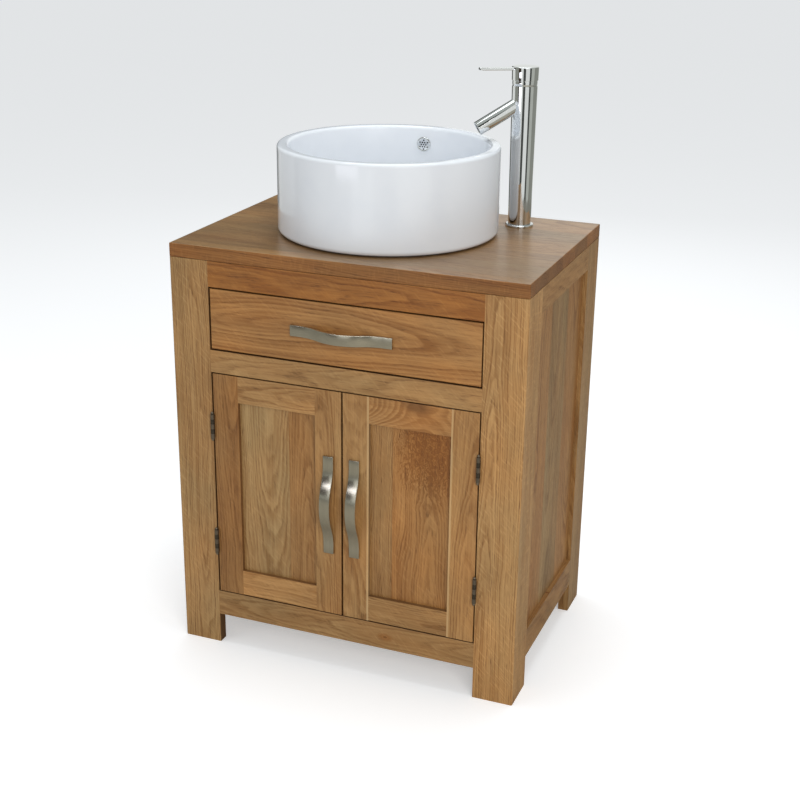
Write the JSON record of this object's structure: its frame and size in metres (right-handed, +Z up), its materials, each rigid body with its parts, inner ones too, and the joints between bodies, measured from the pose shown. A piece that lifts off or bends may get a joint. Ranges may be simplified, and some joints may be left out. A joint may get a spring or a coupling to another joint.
{
  "type": "vessel sink vanity unit",
  "caption": "Oak vanity unit on four legs with a drawer over two panelled doors, a round vessel basin and a tall single lever mixer tap.",
  "frame": {"origin": "on the floor under the middle of the whole object's box", "axes": "+X to the right seen from the front, +Y to the back wall, +Z up"},
  "size_m": [0.66, 0.474, 1.07],
  "materials": {
    "oak": "satin lacquered solid oak, warm honey brown",
    "oak_boards": "satin lacquered edge-glued oak boards with board-to-board colour change",
    "worktop_oak": "semi-gloss lacquered oak slab",
    "drawer_oak": "sanded bare oak",
    "beech": "sanded bare hardwood",
    "plywood": "plain plywood",
    "brushed_nickel": "brushed satin nickel",
    "chrome": "polished chrome plate",
    "ceramic": "white gloss glaze",
    "hinge_metal": "aged dark bronze",
    "zinc_steel": "zinc plated steel",
    "fitting_brass": "machined brass",
    "rubber": "matt black rubber",
    "trap_plastic": "white polypropylene",
    "aerator_plastic": "grey plastic mesh insert",
    "cartridge_plastic": "moulded acetal",
    "magnet_plastic": "brown plastic magnet case"
  },
  "bodies": {
    "cabinet": {"worktop": "worktop_oak", "front_leg_left": "oak", "front_leg_right": "oak", "rear_leg_left": "oak", "rear_leg_right": "oak", "front_top_rail": "oak", "front_mid_rail": "oak", "front_bottom_rail": "oak", "side_rails": "oak", "side_panel_left": "oak_boards", "side_panel_right": "oak_boards", "rear_rails": "oak", "back_panel": "plywood", "cabinet_floor": "plywood", "drawer_runners": "beech", "worktop_brackets": "zinc_steel", "door_magnets": "magnet_plastic", "hinge_frame_leaves": "hinge_metal", "hinge_pins": "hinge_metal", "basin_bowl": "ceramic", "overflow_ring": "chrome", "basin_gasket": "rubber", "waste_body": "chrome", "waste_backnut": "fitting_brass", "trap_nuts": "trap_plastic", "trap_body": "trap_plastic", "trap_cup": "trap_plastic", "trap_outlet_pipe": "trap_plastic", "tap_base_ring": "chrome", "tap_body": "chrome", "tap_spout": "chrome", "tap_aerator": "aerator_plastic", "tap_cartridge": "cartridge_plastic", "tap_shank": "fitting_brass", "tap_fixing_plate": "zinc_steel", "tap_backnut": "fitting_brass"},
    "drawer": {"drawer_front": "oak", "drawer_sides": "drawer_oak", "drawer_inner_walls": "drawer_oak", "drawer_bottom": "plywood", "drawer_handle": "brushed_nickel", "drawer_handle_screws": "zinc_steel"},
    "left_door": {"left_door_stiles": "oak", "left_door_rails": "oak", "left_door_panel": "oak_boards", "left_door_handle": "brushed_nickel", "left_door_handle_screws": "zinc_steel", "left_door_hinge_leaves": "hinge_metal", "left_door_strike": "zinc_steel"},
    "right_door": {"right_door_stiles": "oak", "right_door_rails": "oak", "right_door_panel": "oak_boards", "right_door_handle": "brushed_nickel", "right_door_handle_screws": "zinc_steel", "right_door_hinge_leaves": "hinge_metal", "right_door_strike": "zinc_steel"},
    "plug": {"waste_plug": "chrome"},
    "tap_rotor": {"cartridge_rotor": "fitting_brass"},
    "tap_handle": {"tap_cap": "chrome", "tap_lever": "chrome"}
  },
  "joints": [
    {"name": "drawer_slide", "type": "slide", "parent": "cabinet", "child": "drawer", "axis": [0, -1, 0], "range_m": [0, 0.24]},
    {"name": "left_door_hinge", "type": "hinge", "parent": "cabinet", "child": "left_door", "pos_m": [-0.2538, -0.2168, 0.33], "axis": [0, 0, -1], "range_deg": [0, 110]},
    {"name": "right_door_hinge", "type": "hinge", "parent": "cabinet", "child": "right_door", "pos_m": [0.2538, -0.2168, 0.33], "axis": [0, 0, 1], "range_deg": [0, 110]},
    {"name": "plug_press", "type": "slide", "parent": "cabinet", "child": "plug", "axis": [0, 0, 1], "range_m": [-0.009, 0]},
    {"name": "tap_turn", "type": "hinge", "parent": "cabinet", "child": "tap_rotor", "pos_m": [0.195, 0.162, 1.042], "axis": [0, 0, 1], "range_deg": [-45, 45]},
    {"name": "tap_lift", "type": "hinge", "parent": "tap_rotor", "child": "tap_handle", "pos_m": [0.195, 0.162, 1.042], "axis": [-0.5446, 0.8387, 0], "range_deg": [0, 20]}
  ]
}
